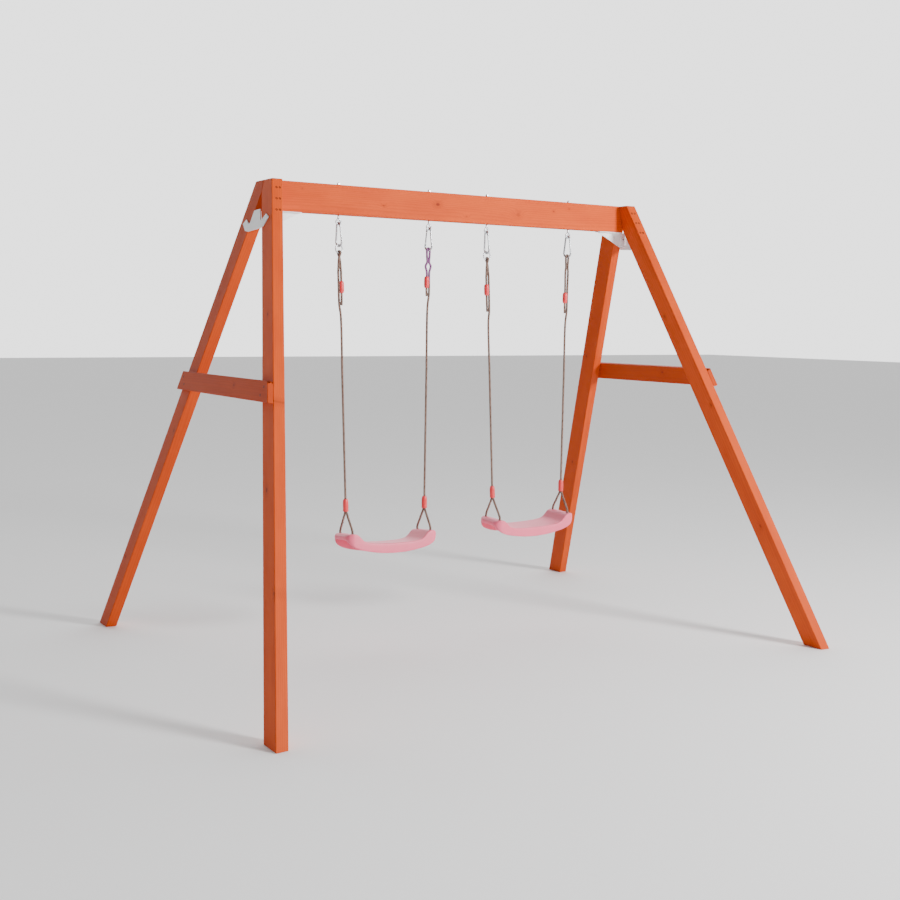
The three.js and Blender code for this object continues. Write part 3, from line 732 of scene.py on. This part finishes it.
# How far each board is darkened towards deep brown: painted shade, heaviest on the rear legs and the
# braces.
BOARD_PAINTED_SHADE = {"left_front": 0.0, "left_rear": 0.35, "right_front": 0.10, "right_rear": 0.30}
BRACE_KNOTS, BRACE_PAINTED_SHADE = [(0.35, 0.01, 0.007, 0.6)], 0.45
BRACE_SHIFTS = {"left": 17.3, "right": 21.9}
LEG_SHIFT = 3.1                          # each leg shows the grain this much further on


def add_timber():
    foot, head = Vector((-1.0, 0, HEIGHT - BEAM_DEEP)), Vector((1.0, 0, HEIGHT - BEAM_DEEP))
    board("beam", foot, head, Vector((0, 0, 1)), BEAM_KNOTS, 0.0, 0.0)
    for i, (name, knots) in enumerate(LEG_KNOTS.items()):
        side, where = name.split("_")
        sign = -1 if (where == "front") == (side == "left") else 1
        foot = leg_point(side, sign * outer_edge(0), 0, 0)
        head = leg_point(side, sign * outer_edge(SLOPE), SLOPE, 0)
        inward = Vector((0, 1 if where == "front" else -1, 0))
        board("leg_" + name, foot, head, inward, knots, LEG_SHIFT * (i + 1), BOARD_PAINTED_SHADE[name])
    for side, shift in BRACE_SHIFTS.items():
        low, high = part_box("brace_" + side)
        middle = (low + high) / 2
        foot, head = Vector((middle.x, low.y, middle.z)), Vector((middle.x, high.y, middle.z))
        board("brace_" + side, foot, head, Vector((0, 0, 1)), BRACE_KNOTS, shift, BRACE_PAINTED_SHADE)


add_timber()

# ------------------------------ fixings


SCREW_HEIGHTS, SCREW_DEPTHS = (1.963, 1.917, 1.871), (0.020, 0.035)
BRACE_SCREWS = ((0.024, 0.068), (0.056, 0.032))   # up the slope from the brace's foot, in from its end
BRACE_FACE = -0.0243


def screw_head():
    """A countersunk head with a star recess, its face a hair proud of z = 0."""
    count, points, proud, recess = 36, 6, 0.0003, 0.0011
    radii = [0.0, 0.0007, 0.0013, 0.0017, 0.0021, 0.0025, 0.0036, 0.0044, 0.0048, 0.0049, 0.0042]
    rim = {0.0048: 0.0002, 0.0049: -0.0002, 0.0042: -0.0016}
    verts, faces = [], []
    for r in radii:
        for a in 2 * np.pi * np.arange(count) / count:
            star = 0.0019 + 0.0003 * math.cos(points * a)
            z = rim.get(r, proud - recess if r < star else proud)
            verts.append((r * math.cos(a), r * math.sin(a), z))
    for ring in range(len(radii) - 1):
        a, b = ring * count, (ring + 1) * count
        for i in range(count):
            j = (i + 1) % count
            faces.append((a + i, b + i, b + j, a + j))
    faces.append(tuple(range((len(radii) - 1) * count, len(radii) * count))[::-1])
    return verts, faces


def facing(point, normal):
    return Matrix.Translation(point) @ normal.to_track_quat("Z", "Y").to_matrix().to_4x4()


def add_screws():
    across = Vector((1, LEG_RUN)).normalized()
    for side in ("left", "right"):
        for where in ("front", "rear"):
            sign = -1 if (where == "front") == (side == "left") else 1
            heads = []
            for z in SCREW_HEIGHTS:
                for depth in SCREW_DEPTHS:
                    s = (z + depth * math.sin(LEAN)) / math.cos(LEAN)
                    point = leg_point(side, sign * outer_edge(s), s, depth)
                    tip = leg_point(side, sign * (outer_edge(s) + across.x), s + across.y, depth)
                    heads.append(moved(screw_head(), facing(point, tip - point)))
            piece(f"screws_{side}_{where}", *merged(*heads), "frame", "zinc", SCREW)
        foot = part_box("brace_" + side)[0].z
        heads = []
        for end in (-1, 1):
            for row, edge in BRACE_SCREWS:
                s = (foot + row) / math.cos(LEAN)
                y = end * (outer_edge(s) - edge)
                point = leg_point(side, y, s, BRACE_FACE)
                tip = leg_point(side, y, s, BRACE_FACE - 1)
                heads.append(moved(screw_head(), facing(point, tip - point)))
        piece(f"brace_screws_{side}", *merged(*heads), "frame", "zinc", SCREW)


def hex_body(across, low, high, bore=0.0):
    """A hexagon bar along Z with its corners chamfered, and a hole through it if there's a bore."""
    segments = 72
    half, corner = across / 2, across / math.sqrt(3)
    ease, lip = (corner - half) * 0.55, 0.0001
    profile = [(half * 0.97, low), (half * 0.99, low + lip), (corner, low + ease),
               (corner, high - ease), (half * 0.99, high - lip), (half * 0.97, high)]
    rows = ([(bore, low)] if bore else []) + profile + ([(bore, high)] if bore else [])
    verts = []
    for r, z in rows:
        for i in range(segments):
            a = 2 * math.pi * i / segments
            flat = half / math.cos((a % (math.pi / 3)) - math.pi / 6)
            rr = min(r, flat)
            verts.append((rr * math.cos(a), rr * math.sin(a), z))
    return verts, ring_faces(len(rows), segments, closed=bore > 0)


def threaded(radius, low, high):
    """A threaded rod along Z with eased ends."""
    pitch, depth, sides, rows_each_turn = 0.00125, 0.0006, 32, 8
    count = int((high - low) / pitch * rows_each_turn)
    line = np.stack([np.zeros(count), np.zeros(count), np.linspace(low, high, count)], axis=1)
    around = np.arange(sides) / sides
    phase = (line[:, 2:3] / pitch + around[None, :]) % 1
    radii = radius - depth * np.abs(2 * phase - 1)
    radii *= round_ended(line, 1.0, 0.0009)[:, None]
    return tube(line, radii, sides)


def zinc_piece(node, how, part, body, place):
    """A plated piece that stands for one node. It is named for the node and how it is made."""
    return piece(f"{node}_{how}", *part, body, "zinc", ZINC, [node], place)


def sharp_edges(made):
    made.data.set_sharp_from_angle(angle=math.radians(35))


def hoop(radius, foot, count):
    """A circle in the XZ plane that stands on z = foot."""
    t = np.linspace(0, 2 * np.pi, count, endpoint=False)
    return np.stack([radius * np.sin(t), 0 * t, foot + radius - radius * np.cos(t)], axis=1)


def add_eye_bolts():
    over_beam, under_beam = HEIGHT - PIVOT, HEIGHT - BEAM_DEEP - PIVOT
    neck_low, bore = 2 * EYE_RING, EYE_SHANK + GAP
    neck = [(0.0030, neck_low - 0.001), (0.0056, neck_low + 0.0014), (0.0050, neck_low + 0.005),
            (0.0043, neck_low + 0.010), (0.0040, neck_low + 0.014), (0.0040, under_beam + 0.004)]
    bolt = merged(tube(hoop(EYE_RING, 0, 64), EYE_WIRE, 24, closed=True), lathe(neck, 32, closed=False),
                  threaded(EYE_SHANK, under_beam + 0.003, EYE_TOP - PIVOT))
    low = over_beam + GAP
    high = low + WASHER_TALL
    washer = lathe(filleted([(bore, low), (WASHER_RADIUS, low), (WASHER_RADIUS, high), (bore, high)],
                            0.0005), 48)
    nut = hex_body(NUT_ACROSS, high + GAP, high + GAP + NUT_TALL, bore)
    for name, h in HANGERS.items():
        place = Matrix.Translation((h["eye"], 0, PIVOT))
        zinc_piece("eye_bolt_" + name, "turned", bolt, "frame", place)
        zinc_piece("washer_" + name, "turned", washer, "frame", place)
        sharp_edges(zinc_piece("nut_" + name, "turned", nut, "frame", place))


def cross_pin(where, radius, half, ease, segments):
    """A pin along X with rounded ends."""
    inner = 0.0001
    pin = filleted([(inner, -half), (radius, -half), (radius, half), (inner, half)], ease)
    return moved(lathe(pin, segments),
                 Matrix.Translation(where) @ Matrix.Rotation(math.pi / 2, 4, "Y"))


def add_clips():
    high, = arc(TOP_CENTRE, CLIP_TOP_BEND, 180 - FLANK, 180 - FLANK, 1)
    low, = arc(LOW_CENTRE, CLIP_LOW_BEND, 180 - FLANK, 180 - FLANK, 1)
    back_high, back_low = (0, -high[1], high[2]), (0, -low[1], low[2])
    wire = ([between(high, low, GATE_TO), between(high, low, GATE_TO / 2)]
            + arc(TOP_CENTRE, CLIP_TOP_BEND, 180 - FLANK, FLANK, 9) + [between(back_high, back_low, 0.5)]
            + arc(LOW_CENTRE, CLIP_LOW_BEND, FLANK, -180 - FLANK, 13)
            + [between(high, low, (1 + GATE_FROM) / 2), between(high, low, GATE_FROM)])
    wire = smooth_line(wire, 0.001)
    foot = between(high, low, GATE_FROM - GATE_HINGE_GAP / CLIP_TALL)
    head = between(high, low, GATE_TO + GAP / CLIP_TALL * 2)
    gate = smooth_line([foot, between(foot, head, 0.5), head], 0.001)
    down = (Vector(foot) - Vector(head)).normalized()
    rivet = cross_pin(Vector(foot) - down * GATE_PIVOT, 0.0017, 0.0038, 0.0004, 24)
    stub = cross_pin(Vector(head) + down * GATE_NOSE, 0.0011, 0.0035, 0.0003, 16)
    leaf = merged(tube(gate, round_ended(gate, GATE_WIRE, CLIP_EASE), 20), rivet, stub)
    bar = tube(wire, round_ended(wire, CLIP_WIRE, CLIP_EASE), 24)
    ring = tube(hoop(RING_RADIUS, SUPPORT, 96), RING_WIRE, 20, closed=True)
    for name, h in HANGERS.items():
        place = clip_place(h)
        zinc_piece("carabiner_" + name, "bent", bar, "swing_" + h["swing"], place)
        zinc_piece("gate_" + name, "leaf", leaf, "gate_" + name, place)
        if h["ring"]:
            zinc_piece("ring_" + name, "bent", ring, "swing_" + h["swing"], place)


def add_brackets():
    for side in ("left", "right"):
        mesh = cad_shape("bracket_" + side, 0.0009, shortest=0.004, segments=2)
        node = "bracket_" + side
        even_normals(finish_piece(node + "_plate", mesh, "frame", WHITE, [node]))
        low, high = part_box("bracket_bolt_" + side)
        place = Matrix.Translation((low + high) / 2) @ Matrix.Rotation(math.pi / 2, 4, "X")
        across, inner, outer, end = 0.010, 0.0023, 0.0063, 0.008
        bolt = merged(hex_body(across, inner, outer), hex_body(across, -outer, -inner),
                      threaded(0.003, -end, end))
        sharp_edges(zinc_piece("bracket_bolt_" + side, "turned", bolt, "frame", place))


add_screws()
add_eye_bolts()
add_clips()
add_brackets()

# ------------------------------ moulded pieces


def carved(body, cuts, voxel, smoothing):
    """A body changed by its cuts, as an even mesh with softened edges. The body and each cut's
    part are a mesh, or its vertices and faces."""
    def held(part, name):
        if isinstance(part, bpy.types.Mesh):
            mesh = part
        else:
            mesh = bpy.data.meshes.new(name)
            mesh.from_pydata([tuple(v) for v in part[0]], [], part[1])
        bm = bmesh.new()
        bm.from_mesh(mesh)
        bmesh.ops.recalc_face_normals(bm, faces=bm.faces)
        bm.to_mesh(mesh)
        bm.free()
        made = bpy.data.objects.new(name, mesh)
        bpy.context.scene.collection.objects.link(made)
        return made

    made = held(body, "carved")
    tools = []
    for operation, part in cuts:
        tool = held(part, "cut")
        cut = made.modifiers.new("cut", "BOOLEAN")
        cut.operation, cut.solver, cut.object = operation, "EXACT", tool
        tools.append(tool)
    even = made.modifiers.new("even", "REMESH")
    even.mode, even.voxel_size = "VOXEL", voxel
    soft = made.modifiers.new("soft", "SMOOTH")
    soft.factor, soft.iterations = 0.5, smoothing
    graph = bpy.context.evaluated_depsgraph_get()
    mesh = bpy.data.meshes.new_from_object(made.evaluated_get(graph))
    for spare in [made, *tools]:
        bpy.data.objects.remove(spare)
    return mesh


def prism(points, low, high):
    """An outline of (x, z) points that runs from y = low to y = high."""
    verts = [(x, low, z) for x, z in points] + [(x, high, z) for x, z in points]
    return verts, ring_faces(2, len(points), closed=False)


def plan(half_x, half_y, radius, low, high):
    """A rounded rectangle seen from above, from z = low to z = high."""
    points = []
    for cx, cy, start in ((1, 1, 0), (-1, 1, 90), (-1, -1, 180), (1, -1, 270)):
        for a in np.radians(np.linspace(start, start + 90, 13)):
            points.append((cx * (half_x - radius) + radius * math.cos(a),
                           cy * (half_y - radius) + radius * math.sin(a)))
    verts = [(x, y, low) for x, y in points] + [(x, y, high) for x, y in points]
    return verts, ring_faces(2, len(points), closed=False)


def upright_bar(x, y, radius, low, high):
    return moved(lathe([(radius, low), (radius, high)], 32, closed=False),
                 Matrix.Translation((x, y, 0)))


def mirrored(points):
    return list(points) + [(-x, z) for x, z in reversed(points)]


def seat_mesh():
    """A moulded shell with turned-up ends, soft edges, and ribs in its hollow underside."""
    top = [tuple(p[:2]) for p in smooth_line([(x * MM, z * MM, 0) for x, z in SEAT_TOP], 0.003)]
    low = [tuple(p[:2]) for p in smooth_line([(x * MM, z * MM, 0) for x, z in SEAT_LOW], 0.004)]
    inner = SEAT_HALF - SEAT_WALL
    inner_deep = SEAT_DEEP / 2 - SEAT_WALL
    below = []
    for (x, z), (nx, nz) in zip(top[:-1], top[1:]):
        share = SEAT_WALL / math.hypot(nx - x, nz - z)
        point = (x + (z - nz) * share, z + (nx - x) * share)
        if point[0] < inner:
            below.append(point)
    floor, roof = -0.150, 0.050
    hollow = mirrored([(inner, -0.130), (inner, below[0][1] - RIB_BITE)] + below)
    shell = prism(mirrored(low[1:] + top[:-1]), -SEAT_DEEP / 2, SEAT_DEEP / 2)
    room = plan(SEAT_HALF, SEAT_DEEP / 2, SEAT_CORNER, floor, roof)
    inner_room = plan(inner, inner_deep, SEAT_CORNER - SEAT_WALL, floor, roof)
    outside = carved(shell, [("INTERSECT", room)], SEAT_VOXEL, SEAT_ROUNDING)
    inside = carved(prism(hollow, -SEAT_DEEP, SEAT_DEEP), [("INTERSECT", inner_room)],
                    SEAT_VOXEL, SEAT_ROUNDING)
    cuts = [("DIFFERENCE", inside)]
    ceiling = [p for p in below if p[0] < RIB_REACH]
    arch = mirrored([(x, z + RIB_BITE) for x, z in ceiling])
    rib = arch + [(x, z - RIB_DROP - RIB_BITE) for x, z in reversed(arch)]
    for y in RIBS_ALONG:
        cuts.append(("UNION", prism(rib, y - RIB_HALF, y + RIB_HALF)))
    for x in RIBS_ACROSS:
        z = min(ceiling, key=lambda p: abs(p[0] - abs(x)))[1]
        near, far, foot, head = x - RIB_HALF, x + RIB_HALF, z - RIB_DROP, z + RIB_BITE
        cuts.append(("UNION", prism([(near, foot), (far, foot), (far, head), (near, head)],
                                    -inner_deep - RIB_BITE, inner_deep + RIB_BITE)))
    for x in (-SEAT_HOLE_HALF, SEAT_HOLE_HALF):
        for y in (-BRIDLE_HALF, BRIDLE_HALF):
            cuts.append(("DIFFERENCE", upright_bar(x, y, SEAT_HOLE_RADIUS, -0.030, 0.030)))
    return carved(outside, cuts, SEAT_FINE_VOXEL, 3)


def add_seats():
    mesh = seat_mesh()
    for side in SWINGS:
        mine = mesh.copy()
        mine.transform(seat_place(side))
        finish_piece(f"seat_{side}_moulded", mine, "swing_" + side, PINK, ["seat_" + side])


def sleeve_profile():
    """The adjuster's block, tapered alike at both ends."""
    half = ADJUSTER_TALL / 2
    low = [(ADJUSTER_HOLE, -half), (ADJUSTER_END - 0.0004, -half), (0.0108, -half + 0.006),
           (ADJUSTER_RADIUS, -half + 0.013)]
    return low + [(r, -z) for r, z in reversed(low)]


def collar_profile():
    """The collar: a groove near its foot, a tapered shoulder, and a throat above its cavity."""
    r, top, cavity = COLLAR_RADIUS, COLLAR_TALL, COLLAR_CAVITY - 0.0006
    groove = r - 0.0008
    return [(cavity, 0), (r - 0.0002, 0), (r, 0.003), (r, 0.010), (groove, 0.011), (groove, 0.0125),
            (r, 0.0135), (r, top - 0.018), (r - 0.0007, top - 0.010), (r - 0.0026, top - 0.003),
            (r - 0.0040, top), (COLLAR_THROAT, top), (COLLAR_THROAT, top - 0.008),
            (cavity, top - 0.014)]


def add_plastics():
    half = ADJUSTER_TALL / 2
    block = lathe(filleted(sleeve_profile(), 0.0018), 64)
    collar = lathe(filleted(collar_profile(), 0.0012), 64)
    for name, h in HANGERS.items():
        place, length = hanger_place(h)
        groove = upright_bar(-2 * h["side"] * ROPE_GRIP, 0, ADJUSTER_HOLE, -half - 0.005, half + 0.005)
        mesh = carved(block, [("DIFFERENCE", groove)], 0.0006, 4)
        mesh.transform(place @ Matrix.Translation((h["side"] * ROPE_GRIP, 0, -h["adjuster"])))
        finish_piece(f"adjuster_{name}_moulded", mesh, "adjuster_" + name, RED,
                     ["adjuster_" + name])
        where = place @ Matrix.Translation((0, 0, -length + BRIDLE_DROP))
        piece(f"collar_{name}_moulded", *collar, "swing_" + h["swing"], "red_plastic", RED,
              ["collar_" + name], where)


add_seats()
add_plastics()

# ------------------------------ floor and light

FLOOR_HALF = 40
LIT_POINT = Vector((0, 0, HEIGHT / 2))
BRIGHT_WALL, DIM_STRENGTH, BRIGHT_STRENGTH = (0.55, 0.80, 0.10), 0.12, 2.4


def add_floor():
    bm = bmesh.new()
    bmesh.ops.create_grid(bm, x_segments=8, y_segments=8, size=FLOOR_HALF)
    mesh = bpy.data.meshes.new("floor")
    bm.to_mesh(mesh)
    bm.free()
    floor = bpy.data.objects.new("floor", mesh)
    bpy.context.scene.collection.objects.link(floor)
    g = Graph("floor")
    cloud = g.noise(g.place(), 1.5, 2.0)
    g.put(g.mix(cloud, (0.93, 0.93, 0.93, 1), (0.95, 0.95, 0.95, 1)), g.shader.inputs["Base Color"])
    g.shader.inputs["Roughness"].default_value = 0.9
    mesh.materials.append(g.material)


def add_light(name, place, size, power):
    """A round lamp that faces the middle of the swing set."""
    lamp = bpy.data.lights.new(name, "AREA")
    lamp.shape = "DISK"
    lamp.size = size
    lamp.energy = power
    made = bpy.data.objects.new(name, lamp)
    made.matrix_world = facing(Vector(place), Vector(place) - LIT_POINT)
    bpy.context.scene.collection.objects.link(made)


def add_world():
    """A studio whose far wall is lit brightest, and whose near wall is dim."""
    world = bpy.data.worlds.new("studio")
    world.use_nodes = True
    nodes, links = world.node_tree.nodes, world.node_tree.links
    where, share, power = (nodes.new(kind) for kind in
                           ("ShaderNodeTexCoord", "ShaderNodeVectorMath", "ShaderNodeMapRange"))
    share.operation = "DOT_PRODUCT"
    share.inputs[1].default_value = BRIGHT_WALL
    links.new(where.outputs["Generated"], share.inputs[0])
    power.interpolation_type = "SMOOTHSTEP"
    power.inputs["From Min"].default_value, power.inputs["From Max"].default_value = 0.05, 0.75
    power.inputs["To Min"].default_value = DIM_STRENGTH
    power.inputs["To Max"].default_value = BRIGHT_STRENGTH
    links.new(share.outputs["Value"], power.inputs["Value"])
    links.new(power.outputs["Result"], nodes["Background"].inputs["Strength"])
    nodes["Background"].inputs["Color"].default_value = (1, 1, 1, 1)
    bpy.context.scene.world = world


add_floor()
add_world()
add_light("key", (3.2, -6.0, 3.2), 1.6, 700)
add_light("fill", (-5.0, -2.5, 3.0), 3.0, 14)
